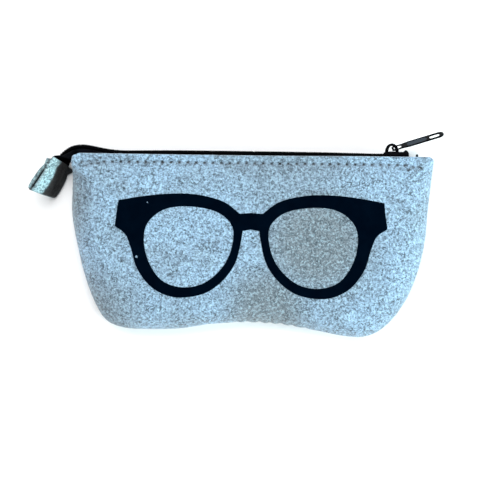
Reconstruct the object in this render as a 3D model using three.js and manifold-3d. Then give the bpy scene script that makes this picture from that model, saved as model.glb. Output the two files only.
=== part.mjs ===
// A zip pouch of thick felt for a pair of eyeglasses, lying on its back panel.
//
// Millimetres. +X runs along the zip towards its closed end, +Y from the bottom seam up to the zip, and +Z
// out of the front panel. The origin is on the back panel's flat resting face, at the pouch's middle.
// The two panels meet at the parting plane z = seamZ. "Rise" is a distance from that plane.

import * as THREE from "three";
import { mergeVertices } from "three/addons/utils/BufferGeometryUtils.js";
import Module from "manifold-3d";

const wasm = await Module();
wasm.setup();

// ---------------------------------------------------------------- driving dimensions

const felt = 2; // thickness of the felt
const seamZ = 13; // height of the parting plane
const frontRise = 12; // parting plane to the front panel's flat
const backRise = seamZ; // parting plane to the back panel's resting face
const seamGap = 0.5; // from the parting plane to each panel along the turned seam

const mouthY = 46.2; // the felt's cut edges at the mouth
const mouthEnd = 90; // half the mouth's straight length
const mouthHalf = 6.4; // parting plane to the felt's inside at the mouth
const cornerFlare = 2.6; // how much wider it stands at the corner that the tail leaves by
const halfLength = 93; // of the whole pouch
const shoulder = 14; // width of the rounded band round each panel
const allowance = 8; // the felt turned in along the seam, from the outline inwards
const outlineSteps = 64; // points down one side, along the bottom and up the other side
const mouthSteps = 12; // points along the mouth

const tapeThick = 0.6; // zip tape
const tapeY = 45.2; // middle of the tape where it lies flat beside the coil
const tapeRise = 0.3; // half the gap between the two tapes while the zip is closed
const coilThick = 2.2;
const coilWidth = 2.6;
const coilRise = 0.2; // half the gap between the two rows while they are meshed
const partRise = 1.4; // how far each row moves out where the slider's wedge has parted them
const clearance = 0.3; // between pieces that touch on the real pouch

const sliderX = 72.6; // middle of the slider with the zip closed
const sliderLength = 14;
const plateTop = 48.7; // upper face of the slider's top plate
const sliderHeight = 5.4; // from the slider's lower face to plateTop

const pivotX = sliderX - 1.2; // the pull's cross bar, under the crown
const pivotY = 50.35;
const pullLength = 27.4; // from the cross bar to the tip
const pullThick = 0.7;
const pullLift = 17.5; // degrees above the zip, where the pull rests on the slider's shoulder
const pullRoll = 28; // degrees that the loose pull is rolled about its own length

const stitchPitch = 4.3;
const stitchInset = 4.2; // from the mouth's cut edge down to the row of topstitching
const stitchEnds = [-77, 75]; // where the row starts and stops, along X
const threadRadius = 0.28;

const tabLength = 19.7; // from the tab's open end to its fold
const tabWidth = 25;
const tabThick = 5.2;
const tabLean = 241; // degrees from +X to the tab's length, seen from above
const tabTwist = 19; // degrees that the tab is twisted about its length
const tabMouth = new THREE.Vector2(-99.05, 41.55);

// ---------------------------------------------------------------- materials

function material(color, roughness, metalness = 0) {
  return new THREE.MeshStandardMaterial({ color, roughness, metalness });
}

const feltGrey = material(0xb9c3c9, 0.95);
const filmBlack = material(0x06080b, 0.6);
const tapeBlack = material(0x101114, 0.9);
const coilBlack = material(0x0c0d10, 0.45);
const enamelBlack = material(0x0a0b0d, 0.3, 0.6);
const springSteel = material(0x9a9ea3, 0.35, 1);
const threadGrey = material(0xc6ccd0, 0.8);

// ---------------------------------------------------------------- geometry helpers

const radians = THREE.MathUtils.degToRad;
const mix = THREE.MathUtils.lerp;
const smooth = THREE.MathUtils.smoothstep;

function solidOf(geometry) {
  const bare = geometry.clone();
  bare.deleteAttribute("normal");
  bare.deleteAttribute("uv");
  const merged = mergeVertices(bare, 1e-4);
  return new wasm.Manifold(
    new wasm.Mesh({
      numProp: 3,
      vertProperties: new Float32Array(merged.attributes.position.array),
      triVerts: new Uint32Array(merged.index.array),
    }),
  );
}

function geometryOf(solid) {
  const mesh = solid.getMesh();
  const geometry = new THREE.BufferGeometry();
  geometry.setAttribute("position", new THREE.BufferAttribute(mesh.vertProperties, 3));
  geometry.setIndex(new THREE.BufferAttribute(mesh.triVerts, 1));
  return geometry;
}

function indexedGeometry(points, triangles) {
  const geometry = new THREE.BufferGeometry().setFromPoints(points);
  geometry.setIndex(triangles);
  let volume = 0;
  const cross = new THREE.Vector3();
  for (let i = 0; i < triangles.length; i += 3) {
    const [a, b, c] = triangles.slice(i, i + 3).map((k) => points[k]);
    volume += a.dot(cross.crossVectors(b, c));
  }
  if (volume < 0) geometry.setIndex(triangles.reverse());
  return geometry;
}

// A closed body through equal rings of points, with each end closed by a fan to its middle point.
function ringLoft(rings) {
  const size = rings[0].length;
  const middle = (ring) => ring.reduce((sum, p) => sum.add(p), new THREE.Vector3()).divideScalar(size);
  const points = [middle(rings[0]), ...rings.flat(), middle(rings.at(-1))];
  const last = points.length - 1;
  const triangles = [];
  for (let i = 0; i < size; i++) {
    const next = (i + 1) % size;
    triangles.push(0, 1 + next, 1 + i);
    for (let ring = 0; ring < rings.length - 1; ring++) {
      const here = 1 + ring * size;
      const there = here + size;
      triangles.push(here + i, here + next, there + next, here + i, there + next, there + i);
    }
    triangles.push(last, last - size + i, last - size + next);
  }
  return indexedGeometry(points, triangles);
}

// A sheet of even thickness over a grid of points on its middle surface.
function sheet(rows, thickness) {
  const columns = rows[0].length;
  const held = THREE.MathUtils.clamp;
  const at = (i, j) => rows[held(i, 0, rows.length - 1)][held(j, 0, columns - 1)];
  const sides = [0.5, -0.5].map((share) =>
    rows.map((row, i) =>
      row.map((p, j) => {
        const along = at(i + 1, j).clone().sub(at(i - 1, j));
        const across = at(i, j + 1).clone().sub(at(i, j - 1));
        return p.clone().addScaledVector(along.cross(across).normalize(), share * thickness);
      }),
    ),
  );
  const rings = rows.map((_, i) => [...sides[0][i], ...sides[1][i].slice().reverse()]);
  const points = rings.flat();
  const size = 2 * columns;
  const triangles = [];
  for (let ring = 0; ring < rows.length - 1; ring++)
    for (let i = 0; i < size; i++) {
      const here = ring * size;
      const there = here + size;
      const next = (i + 1) % size;
      triangles.push(here + i, here + next, there + next, here + i, there + next, there + i);
    }
  const end = (rows.length - 1) * size;
  for (let j = 0; j < columns - 1; j++) {
    const [a, b, c, d] = [j, j + 1, size - 2 - j, size - 1 - j];
    triangles.push(a, c, b, a, d, c, end + a, end + b, end + c, end + a, end + c, end + d);
  }
  return indexedGeometry(points, triangles);
}

// A thread along a path of points; its radius can swell and shrink with the point's index.
function thread(path, radiusAt = () => threadRadius, sides = 5) {
  const rings = path.map((p, i) => {
    const ahead = path[Math.min(i + 1, path.length - 1)];
    const behind = path[Math.max(i - 1, 0)];
    const along = ahead.clone().sub(behind).normalize();
    const up = Math.abs(along.z) > 0.9 ? new THREE.Vector3(1, 0, 0) : new THREE.Vector3(0, 0, 1);
    const across = new THREE.Vector3().crossVectors(along, up).normalize();
    const above = new THREE.Vector3().crossVectors(across, along);
    return Array.from({ length: sides }, (_, k) => {
      const turn = (2 * Math.PI * k) / sides;
      return p
        .clone()
        .addScaledVector(across, radiusAt(i) * Math.cos(turn))
        .addScaledVector(above, radiusAt(i) * Math.sin(turn));
    });
  });
  return ringLoft(rings);
}

// A row of stitches is a thread that is thick on top of each stitch and thin at each needle hole.
function stitchRow(from, to) {
  const stitches = Math.round(from.distanceTo(to) / stitchPitch);
  const path = Array.from({ length: 2 * stitches + 1 }, (_, i) => from.clone().lerp(to, i / (2 * stitches)));
  return thread(path, (i) => (i % 2 ? threadRadius : threadRadius / 2), 4);
}

function extruded(shape, depth, curveSegments = 8) {
  return new THREE.ExtrudeGeometry(shape, { depth, bevelEnabled: false, curveSegments });
}

// An outline drawn in X and Z, given its thickness along Y from low to high.
function upright(shape, low, high) {
  return extruded(shape, high - low).rotateX(-Math.PI / 2).translate(0, low, seamZ);
}

function closedSpline(points, divisions) {
  const curve = new THREE.CatmullRomCurve3(
    points.map(([x, y]) => new THREE.Vector3(x, y, 0)),
    true,
    "centripetal",
  );
  return curve.getSpacedPoints(divisions).slice(0, -1).map((p) => new THREE.Vector2(p.x, p.y));
}

// ---------------------------------------------------------------- the felt panels

// Down the left side, along the bottom with its shallow dip, and up the right side.
const outlineKnots = [
  [-mouthEnd, mouthY],
  [-93.3, 44.8],
  [-92.9, 31],
  [-92.3, 14],
  [-89.7, 0],
  [-85.6, -17],
  [-80.2, -31],
  [-74.5, -39.3],
  [-66, -42.8],
  [-52, -43.5],
  [-37, -43],
  [-21, -40.6],
  [-3, -39.5],
  [15, -40.5],
  [33, -43.3],
  [46, -45.7],
  [56, -46.3],
  [63.5, -44],
  [71.5, -38],
  [79.5, -26.5],
  [85.2, -13],
  [88.1, 2],
  [89.4, 19],
  [91.4, 38],
  [91.9, 44.4],
  [mouthEnd, mouthY],
];

const sideCurve = new THREE.CatmullRomCurve3(
  outlineKnots.map(([x, y]) => new THREE.Vector3(x, y, 0)),
  false,
  "centripetal",
);

function outline() {
  const sides = sideCurve.getSpacedPoints(outlineSteps);
  const mouth = Array.from({ length: mouthSteps - 1 }, (_, i) => {
    return new THREE.Vector3(mix(mouthEnd, -mouthEnd, (i + 1) / mouthSteps), mouthY, 0);
  });
  return [...sides, ...mouth];
}

// 1 where the felt's edge is free, at the mouth and at the corner that the tail leaves by; 0 on the seam.
function freedom(p) {
  const [closed, open] = p.x < 0 ? [34.5, 39.5] : [41.5, mouthY];
  return smooth(p.y, closed, open);
}

// From the parting plane to the felt's inside, where its edge is free.
function freeHalf(p) {
  return mouthHalf + cornerFlare * smooth(-p.x, mouthEnd, halfLength);
}

// The profile across the rounded band: upright at a turned seam, level at a free edge.
function bandShape(share, free) {
  const turned = Math.sqrt(1 - (1 - share) ** 2);
  const level = (1 - Math.cos(Math.PI * share)) / 2;
  return mix(turned, level, free);
}

// A point of a panel's outside, at this distance in from the outline and with its rise.
function outside(p, inset, rise) {
  const share = inset / shoulder;
  const free = freedom(p);
  const rim = mix(seamGap, freeHalf(p) + felt, free);
  const x = p.x * (1 - inset / halfLength);
  const y = p.y * (1 - inset / mouthY);
  return new THREE.Vector3(x, y, mix(rim, rise, bandShape(share, free)));
}

// The same for the inside, which starts beyond the felt that is turned in along the seam.
function inside(p, share, rise) {
  const free = freedom(p);
  const start = Math.max(1 - free, 0.04) * felt * 1.3;
  const inset = mix(start, shoulder, share);
  const low = mix(seamGap + felt, freeHalf(p), free) + 0.1;
  const x = p.x * (1 - inset / halfLength);
  const y = p.y * (1 - inset / mouthY);
  return new THREE.Vector3(x, y, mix(low, rise - felt, bandShape(share, free)));
}

// The turned-in felt: its lower and upper inner edges.
function turnedEdge(p, upper) {
  const turned = Math.max(1 - freedom(p), 0.04);
  const inset = turned * allowance;
  const rim = mix(seamGap, freeHalf(p), 1 - turned);
  return new THREE.Vector3(
    p.x * (1 - inset / halfLength),
    p.y * (1 - inset / mouthY),
    rim + (upper ? turned * felt : 0),
  );
}

const bandShares = [1, 0.6, 0.3, 0.1];

function panel(rise, side) {
  const edge = outline();
  const outer = bandShares.map((share) => edge.map((p) => outside(p, share * shoulder, rise)));
  const inner = [0, ...bandShares.slice().reverse()].map((share) => edge.map((p) => inside(p, share, rise)));
  const rings = [
    ...outer,
    edge.map((p) => outside(p, 0, rise)),
    edge.map((p) => turnedEdge(p, false)),
    edge.map((p) => turnedEdge(p, true)),
    ...inner,
  ];
  rings.flat().forEach((p) => p.set(p.x, p.y, seamZ + side * p.z));
  return ringLoft(rings);
}

// ---------------------------------------------------------------- the printed glasses

const printMiddle = -1.1; // the motif stands a little left of the pouch's middle
const printThick = 0.3;

// One half of the frame's outer line, from the bridge's top round to its underside.
const browCurve = [[5.8, 15.9], [13.8, 21.8], [27.4, 25.4], [41.5, 25.8], [55.5, 24.4], [68.1, 22.2]];
const rimCurve = [
  [69.9, 8.9], [64.6, 5], [61.9, -1], [58.2, -12.6], [51, -22], [42, -26.6], [33.4, -27.3],
  [22.4, -24.6], [13.6, -17.8], [7.9, -9.3], [5.2, 1], [4.3, 7.1],
];
const bridgeTop = 16.4;
const bridgeUnder = 7.9;
const lensHole = [
  [35, 19.4], [46, 17], [53.2, 10.4], [54.9, 2.7], [52.4, -9], [45.3, -18.8], [35, -22.1],
  [24, -19.9], [14, -11], [9.6, -0.5], [9.7, 9.4], [17, 16.4],
];

function motif() {
  const vector = ([x, y]) => new THREE.Vector2(x, y);
  const mirrored = ([x, y]) => [-x, y];
  const shape = new THREE.Shape();
  shape.moveTo(0, bridgeTop);
  shape.lineTo(...browCurve[0]);
  shape.splineThru(browCurve.slice(1).map(vector));
  shape.lineTo(...rimCurve[0]);
  shape.splineThru(rimCurve.slice(1).map(vector));
  shape.lineTo(0, bridgeUnder);
  const leftRim = rimCurve.map(mirrored).reverse();
  const leftBrow = browCurve.map(mirrored).reverse();
  shape.lineTo(...leftRim[0]);
  shape.splineThru(leftRim.slice(1).map(vector));
  shape.lineTo(...leftBrow[0]);
  shape.splineThru(leftBrow.slice(1).map(vector));
  shape.closePath();
  for (const flip of [1, -1]) {
    const points = closedSpline(lensHole.map(([x, y]) => [flip * x, y]), 28);
    if (THREE.ShapeUtils.isClockWise(points)) points.reverse();
    shape.holes.push(new THREE.Path(points));
  }
  return shape;
}

function glassesPrint() {
  const geometry = extruded(motif(), printThick, 3);
  return geometry.translate(printMiddle, 0, seamZ + frontRise + clearance);
}

// ---------------------------------------------------------------- the zip

// The line of the tapes' meeting edges: straight along the mouth, a hump over the left corner, then down
// into the tab. The tab's own length direction ends it.
const tabAlong = new THREE.Vector2(Math.cos(radians(tabLean)), Math.sin(radians(tabLean)));
const tailKnots = [
  [-70, tapeY],
  [-76, 45.6],
  [-81, 46.6],
  [-86, 47.6],
  [-90, 47.8],
  [-93.4, 47],
  [-96, 45.4],
  [-97.8, 43.6],
  [tabMouth.x, tabMouth.y],
];
const tapeEnd = 84.5; // right-hand end of the tapes
const tapeInTab = 11; // length of tape held inside the tab

// The tape's half section while it is folded into the mouth, as (distance inwards, rise).
const foldedSection = [[0, tapeRise], [0, 4.9], [0.9, 5.55], [3.9, 5.6], [6.9, 5.65]];
// Distances across the same half section once it lies flat in the tab.
const flatSection = [tapeRise, 4.9, 6, 9, 12];

// Stations along the zip: place, direction, how far it has opened flat, and how far the rows are parted.
function zipStations() {
  const straight = [tapeEnd, sliderX + 4, sliderX + 0.5, 40, 0, -40].map((x) => ({
    at: new THREE.Vector2(x, tapeY),
    along: new THREE.Vector2(-1, 0),
    flat: 0,
    parted: x > sliderX + 1 ? partRise : 0,
  }));
  const curve = new THREE.SplineCurve(tailKnots.map(([x, y]) => new THREE.Vector2(x, y)));
  const steps = 16;
  const tail = Array.from({ length: steps + 1 }, (_, i) => {
    const share = i / steps;
    const along = curve.getTangentAt(share);
    if (i === 0) along.set(-1, 0);
    if (i === steps) along.copy(tabAlong);
    return { at: curve.getPointAt(share), along, flat: smooth(share, 0.85, 1), parted: 0 };
  });
  return [...straight, ...tail];
}

// Towards the inside of the pouch, square to the zip's direction.
function inwards(along) {
  return new THREE.Vector2(-along.y, along.x);
}

// A point of the section at one station. side is 1 for the front half and -1 for the back half. As the zip
// opens flat towards the tab it also takes up the tab's twist.
function zipPoint(station, inset, rise, side) {
  const section = new THREE.Vector2(inset, side * rise);
  section.rotateAround(new THREE.Vector2(), radians(tabTwist) * station.flat);
  const at = station.at.clone().addScaledVector(inwards(station.along), section.x);
  return new THREE.Vector3(at.x, at.y, seamZ + section.y);
}

function tape(side) {
  const rowAt = (station) =>
    foldedSection.map(([inset, rise], j) => {
      const shift = station.parted * (1 - j / (foldedSection.length - 1)) ** 3;
      const open = station.flat;
      return zipPoint(station, mix(inset, 0, open), mix(rise + shift, flatSection[j], open), side);
    });
  const stations = zipStations();
  const last = stations.at(-1);
  const held = { ...last, at: last.at.clone().addScaledVector(last.along, tapeInTab) };
  return sheet([...stations, held].map(rowAt), tapeThick);
}

function coil(side) {
  const [first, ...others] = zipStations();
  const stations = [{ ...first, at: new THREE.Vector2(tapeEnd - 1.5, tapeY) }, ...others.slice(0, -1)];
  const inner = -(tapeThick / 2 + clearance);
  const outer = inner - coilThick;
  return ringLoft(
    stations.map((station) => {
      const low = coilRise + station.parted;
      const high = low + coilWidth;
      return [
        zipPoint(station, inner, low, side),
        zipPoint(station, inner, high, side),
        zipPoint(station, outer, high, side),
        zipPoint(station, outer, low, side),
      ];
    }),
  );
}

function topStop(side) {
  const stop = new THREE.BoxGeometry(1.1, 1.8, coilWidth);
  const rise = coilRise + partRise + coilWidth / 2;
  return stop.translate(tapeEnd - 0.6, tapeY + tapeThick / 2 + clearance + 0.9, seamZ + side * rise);
}

// ---------------------------------------------------------------- the slider and its pull

// A plan outline that widens from the narrow end to the two-channel end.
function taperedPlan(left, right, from = -sliderLength / 2, to = sliderLength / 2) {
  const middle = mix(from, to, 0.5);
  return new THREE.Shape([
    new THREE.Vector2(from, -left),
    new THREE.Vector2(middle, mix(-left, -right, 0.7)),
    new THREE.Vector2(to, -right),
    new THREE.Vector2(to, right),
    new THREE.Vector2(middle, mix(left, right, 0.7)),
    new THREE.Vector2(from, left),
  ]);
}

// The slider seen from the front: a sloping nose at the left and a raised shoulder at the right.
function sliderProfile() {
  const low = plateTop - sliderHeight;
  return new THREE.Shape(
    [
      [-7, low + 0.5], [-6.5, low], [6.5, low], [7, low + 0.5], [7, 48.1], [6, 49.5], [5.2, 49.7],
      [4.2, plateTop], [-5.3, plateTop], [-6, 48], [-7, 47.2],
    ].map(([x, y]) => new THREE.Vector2(x, y)),
  );
}

function sliderBody() {
  const half = sliderLength / 2;
  const bottom = plateTop - sliderHeight;
  const slotLow = tapeY - tapeThick / 2 - 0.25;
  const slotHigh = tapeY + tapeThick / 2 + 0.25;
  const channelTop = 48.2;
  const wedgePlan = new THREE.Shape(
    [[1.4, 0], [4.4, 1.1], [half, 1.1], [half, -1.1], [4.4, -1.1]].map(([x, y]) => new THREE.Vector2(x, y)),
  );
  const prongHole = new THREE.BoxGeometry(1.3, 3, 1.6).translate(-3.15, plateTop, seamZ);
  const block = (left, right, low, high) => solidOf(upright(taperedPlan(left, right), low, high));
  const channel = block(3.2, 4.6, slotLow - 0.4, channelTop).subtract(
    solidOf(upright(wedgePlan, bottom - 1, plateTop + 1)),
  );
  const walls = block(4.3, 5.4, slotHigh, plateTop + 1)
    .add(block(3.7, 4.7, bottom, slotLow))
    .add(solidOf(upright(wedgePlan, bottom, plateTop + 1)));
  const side = solidOf(extruded(sliderProfile(), 20).translate(0, 0, seamZ - 10));
  const body = walls.subtract(channel).subtract(solidOf(prongHole)).intersect(side);
  return geometryOf(body).translate(sliderX, 0, 0);
}

const crownMiddle = sliderX - 1.65;
const standOff = 0.03; // the crown and the spring's leaf sit this close over the plate
const crownFoot = plateTop + standOff;
const crownWidth = 2.2;

function sliderCrown() {
  const shape = new THREE.Shape();
  shape.absellipse(0, 0, 3.55, 4.45, 0, Math.PI, false);
  shape.absellipse(0, 0, 1.85, 3.1, Math.PI, 0, true);
  shape.closePath();
  const arch = extruded(shape, crownWidth, 12);
  return arch.translate(crownMiddle, crownFoot, seamZ - crownWidth / 2);
}

// A leaf on top of the slider's plate, with a prong that drops through it into the coil.
function lockSpring() {
  const leafLow = plateTop + standOff;
  const leafHigh = leafLow + 0.25;
  const shape = new THREE.Shape(
    [
      [-1.75, leafLow], [1.75, leafLow], [1.75, leafHigh], [-1.1, leafHigh + 0.1], [-1.75, leafHigh],
    ].map(([x, y]) => new THREE.Vector2(x, y)),
  );
  const leaf = extruded(shape, 1.2).translate(crownMiddle, 0, seamZ - 0.6);
  const prong = new THREE.BoxGeometry(0.5, 0.8, 0.8).translate(sliderX - 3.1, leafLow - 0.22, seamZ);
  return geometryOf(solidOf(leaf).add(solidOf(prong)));
}

function roundedSlot(from, to, half) {
  const path = new THREE.Path();
  path.moveTo(from, -half);
  path.lineTo(to - half, -half);
  path.absarc(to - half, 0, half, -Math.PI / 2, Math.PI / 2, false);
  path.lineTo(from, half);
  path.closePath();
  return path;
}

// Drawn along its own length from the cross bar, then rolled, lifted and hung at the pivot.
function pullTab() {
  const barHalf = 0.45;
  const eyeHalf = 2.3;
  const plateHalf = 2.9;
  const tipRound = 2.6;
  const shape = new THREE.Shape();
  shape.moveTo(-barHalf, -eyeHalf);
  shape.lineTo(5, -eyeHalf);
  shape.bezierCurveTo(7, -eyeHalf, 7, -plateHalf, 9, -plateHalf);
  shape.lineTo(pullLength - tipRound, -plateHalf);
  shape.absarc(pullLength - tipRound, tipRound - plateHalf, tipRound, -Math.PI / 2, 0, false);
  shape.absarc(pullLength - tipRound, plateHalf - tipRound, tipRound, 0, Math.PI / 2, false);
  shape.lineTo(9, plateHalf);
  shape.bezierCurveTo(7, plateHalf, 7, eyeHalf, 5, eyeHalf);
  shape.lineTo(-barHalf, eyeHalf);
  shape.closePath();
  shape.holes.push(roundedSlot(barHalf, 4.9, 1.6), roundedSlot(19.7, 25.2, 1.5));
  const plate = extruded(shape, pullThick, 6).translate(0, 0, -pullThick / 2);
  plate.rotateX(-Math.PI / 2); // the plate now lies along the pivot's axis
  plate.rotateX(radians(pullRoll));
  plate.rotateZ(radians(pullLift));
  return plate.translate(pivotX, pivotY, seamZ);
}

// ---------------------------------------------------------------- the felt tab on the tail

// Drawn with X along the tab and Y through its thickness, and extruded across its width.
function tabFrame() {
  const across = inwards(tabAlong);
  const frame = new THREE.Matrix4().makeBasis(
    new THREE.Vector3(tabAlong.x, tabAlong.y, 0),
    new THREE.Vector3(across.x, across.y, 0),
    new THREE.Vector3(0, 0, 1),
  );
  frame.multiply(new THREE.Matrix4().makeRotationX(radians(tabTwist)));
  return frame.setPosition(tabMouth.x, tabMouth.y, seamZ);
}

function tailTab() {
  const half = tabThick / 2;
  const slot = tapeThick / 2 + 0.4;
  const slotDepth = 14;
  const shape = new THREE.Shape();
  shape.moveTo(0, -half);
  shape.absarc(tabLength - half, 0, half, -Math.PI / 2, Math.PI / 2, false);
  shape.lineTo(0, half);
  shape.lineTo(0, slot);
  shape.absarc(slotDepth, 0, slot, Math.PI / 2, -Math.PI / 2, true);
  shape.lineTo(0, -slot);
  shape.closePath();
  return extruded(shape, tabWidth, 5).translate(0, 0, -tabWidth / 2).applyMatrix4(tabFrame());
}

function tabStitching() {
  const along = 4; // from the tab's open end
  const lift = -(tabThick / 2 + threadRadius + 0.1);
  const reach = tabWidth / 2 - 2;
  const row = stitchRow(new THREE.Vector3(along, lift, -reach), new THREE.Vector3(along, lift, reach));
  return row.applyMatrix4(tabFrame());
}

// ---------------------------------------------------------------- the sewing

// A point just above a panel's outside, this far below the mouth's edge.
function onMouthBand(x, inset, rise, side) {
  const edgeX = x / (1 - inset / halfLength);
  const p = outside(new THREE.Vector3(edgeX, mouthY, 0), inset, rise);
  return p.set(p.x, p.y, seamZ + side * (p.z + threadRadius + 0.2));
}

function topstitch(rise, side) {
  const [from, to] = stitchEnds.map((x) => onMouthBand(x, stitchInset, rise, side));
  return stitchRow(from, to);
}

function barTack(from, to) {
  const legs = 8;
  const path = Array.from({ length: legs + 1 }, (_, i) => {
    const inset = i % 2 ? 2.8 : 5.4;
    return onMouthBand(mix(from, to, i / legs), inset, frontRise, 1);
  });
  return thread(path);
}

function seamStitching() {
  const seamInset = 3;
  const path = sideCurve
    .getSpacedPoints(outlineSteps)
    .filter((p) => p.y < 32)
    .map(({ x, y }) => {
      return new THREE.Vector3(x * (1 - seamInset / halfLength), y * (1 - seamInset / mouthY), seamZ);
    });
  return thread(path, () => 0.2);
}

// ---------------------------------------------------------------- the assembly

const pouch = new THREE.Group();
pouch.name = "felt_glasses_pouch";

function add(name, geometry, finish) {
  const mesh = new THREE.Mesh(geometry, finish);
  mesh.name = name;
  pouch.add(mesh);
}

add("back_panel", panel(backRise, -1), feltGrey);
add("front_panel", panel(frontRise, 1), feltGrey);
add("glasses_print", glassesPrint(), filmBlack);
add("tape_front", tape(1), tapeBlack);
add("tape_back", tape(-1), tapeBlack);
add("coil_front", coil(1), coilBlack);
add("coil_back", coil(-1), coilBlack);
add("top_stop_front", topStop(1), enamelBlack);
add("top_stop_back", topStop(-1), enamelBlack);
add("slider_body", sliderBody(), enamelBlack);
add("slider_crown", sliderCrown(), enamelBlack);
add("lock_spring", lockSpring(), springSteel);
add("pull_tab", pullTab(), enamelBlack);
add("tail_tab", tailTab(), feltGrey);
add("tab_stitching", tabStitching(), threadGrey);
add("topstitch_front", topstitch(frontRise, 1), threadGrey);
add("topstitch_back", topstitch(backRise, -1), threadGrey);
add("bar_tack_left", barTack(-84, -78), threadGrey);
add("bar_tack_right", barTack(76.5, 84.2), threadGrey);
add("seam_stitching", seamStitching(), threadGrey);

export default pouch;
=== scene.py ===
import math

import bmesh
import bpy
import numpy as np
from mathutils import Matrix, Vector, noise
from mathutils.bvhtree import BVHTree
from mathutils.geometry import delaunay_2d_cdt


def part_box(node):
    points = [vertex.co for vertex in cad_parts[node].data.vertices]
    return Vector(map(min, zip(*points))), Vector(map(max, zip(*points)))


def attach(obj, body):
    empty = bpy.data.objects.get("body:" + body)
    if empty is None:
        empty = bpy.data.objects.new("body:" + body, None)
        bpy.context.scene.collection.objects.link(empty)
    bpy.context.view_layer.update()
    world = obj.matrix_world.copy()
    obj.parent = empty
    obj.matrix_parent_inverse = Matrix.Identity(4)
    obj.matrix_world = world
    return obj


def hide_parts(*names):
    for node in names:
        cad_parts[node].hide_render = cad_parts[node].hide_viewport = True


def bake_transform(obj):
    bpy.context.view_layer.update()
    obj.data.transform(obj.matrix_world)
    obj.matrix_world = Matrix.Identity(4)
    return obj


# The looks of a zip pouch of thick felt for eyeglasses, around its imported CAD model.
# Shapes are worked out in millimetres, in the model's own frame, and become metres when a mesh is made.

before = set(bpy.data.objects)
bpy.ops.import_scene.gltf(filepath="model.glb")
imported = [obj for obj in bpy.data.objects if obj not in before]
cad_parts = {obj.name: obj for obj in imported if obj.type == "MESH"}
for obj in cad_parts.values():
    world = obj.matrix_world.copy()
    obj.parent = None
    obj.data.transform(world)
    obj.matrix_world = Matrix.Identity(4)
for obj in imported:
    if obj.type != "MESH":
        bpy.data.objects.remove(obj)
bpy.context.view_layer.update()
MM = 0.001
ROUND_FELT = 55  # degrees: felt or film that turns by less than this from face to face looks round
ROUND_THREAD = 80


# ---------------------------------------------------------------- sizes, from the frame where it has them

def box_mm(node):
    low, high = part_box(node)
    return np.array(low) / MM, np.array(high) / MM


front_low, front_high = box_mm("front_panel")
back_low, back_high = box_mm("back_panel")
SEAM_Z = (front_low[2] + back_high[2]) / 2
FRONT_RISE = front_high[2] - SEAM_Z
BACK_RISE = SEAM_Z - back_low[2]
MOUTH_Y = front_high[1]
BOTTOM_Y = front_low[1]
HALF_LENGTH = 93
MOUTH_END = 90  # how far along X the mouth's edge runs each way

FELT = 2
SEAM_GAP = 0.25  # from the middle of the seam to the edge of each panel beside it
SEAM_TUCK = 1.1  # how far the stitching draws the felt in beside the seam
TUCK_HEIGHT = 2.6  # how high over the seam the tuck has faded out
SIDE_SWELL = 0.6  # how far the stuffed-out sides stand beyond the pattern's outline
MOUTH_HALF = 6.4  # from the middle to the inside of each panel at the mouth
CORNER_FLARE = 2.6  # how much wider the mouth is where the zip's tail leaves it
SHOULDER = 14  # how far in from its outline a panel reaches its full height
LEFT_SEAM_TOP = (34.5, 39.5)  # the heights between which the seam lets go of the felt, at the left end
RIGHT_SEAM_TOP = (41.5, MOUTH_Y - 1)

TAPE_THICK = 0.6
TAPE_Y = 45.2
TAPE_END = box_mm("tape_front")[1][0]
TAPE_IN_TAB = 9
COIL_PITCH = 1.15
COIL_HIGH = 2.7
COIL_NEAR, COIL_FAR = -0.3, 2.8  # from the middle to each side of a row; the rows reach past the middle
WIRE = 0.27
CORE = 0.95  # the radius of the cord inside each row
PARTED = 1.4  # how far each row stands aside where the slider has parted them

slider_low, slider_high = box_mm("slider_body")
SLIDER_X = (slider_low[0] + slider_high[0]) / 2
PIVOT = np.array([SLIDER_X - 1.2, 50.35, SEAM_Z])  # where the pull hangs on the crown

STITCH_PITCH = 4.3
STITCH_INSET = 4.2
STITCH_FROM, STITCH_TO = -77, 75
THREAD = 0.27  # a thread's radius

TAB_LEAN = math.radians(241)
TAB_TWIST = math.radians(19)
TAB_MOUTH = np.array([-99.05, 41.55])
TAB_ALONG = np.array([math.cos(TAB_LEAN), math.sin(TAB_LEAN)])
TAB_LENGTH = 19.7
TAB_WIDTH = 25
TAB_ROW_AT = 3.6  # how far from the tab's open end its stitching draws the felt together

# Where the front panel starts to leave the back one. The slider stops left of the first.
LEFT_HELD_X = -58
RIGHT_HELD_X = 86

OUTLINE = [
    (-MOUTH_END, MOUTH_Y - 0.2), (-92.5, 44.6), (-92.8, 31), (-92.7, 14), (-90.1, 0), (-85.8, -17),
    (-80.2, -31), (-74.5, -39.3), (-66, -42.8), (-52, -43.5), (-37, -43), (-21, -40.6), (-3, -39.5),
    (15, -40.5), (33, -43.3), (46, -45.7), (56, -46.3), (63.5, -44), (71.1, -37.9), (79, -26.5),
    (84.5, -13), (87.9, 2), (89.4, 19), (91.5, 38), (92.3, 44.4), (MOUTH_END, MOUTH_Y - 0.2),
]
MOUTH_LINE = [
    (MOUTH_END, MOUTH_Y - 0.2), (55, MOUTH_Y - 0.3), (10, MOUTH_Y - 0.6), (-45, MOUTH_Y - 0.5),
    (-MOUTH_END, MOUTH_Y - 0.2),
]


# ---------------------------------------------------------------- curves and meshes

def mix(a, b, share):
    return a + (b - a) * share


def smooth(x, low, high):
    t = np.clip((x - low) / (high - low), 0, 1)
    return t * t * (3 - 2 * t)


def bell(distance, width):
    """1 at no distance, falling smoothly to almost 0 at twice the width."""
    return np.exp(-((distance / width) ** 2))


def turned(across, up, angle):
    """A pair of coordinates turned by an angle, from the first towards the second."""
    return across * math.cos(angle) - up * math.sin(angle), across * math.sin(angle) + up * math.cos(angle)


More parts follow.
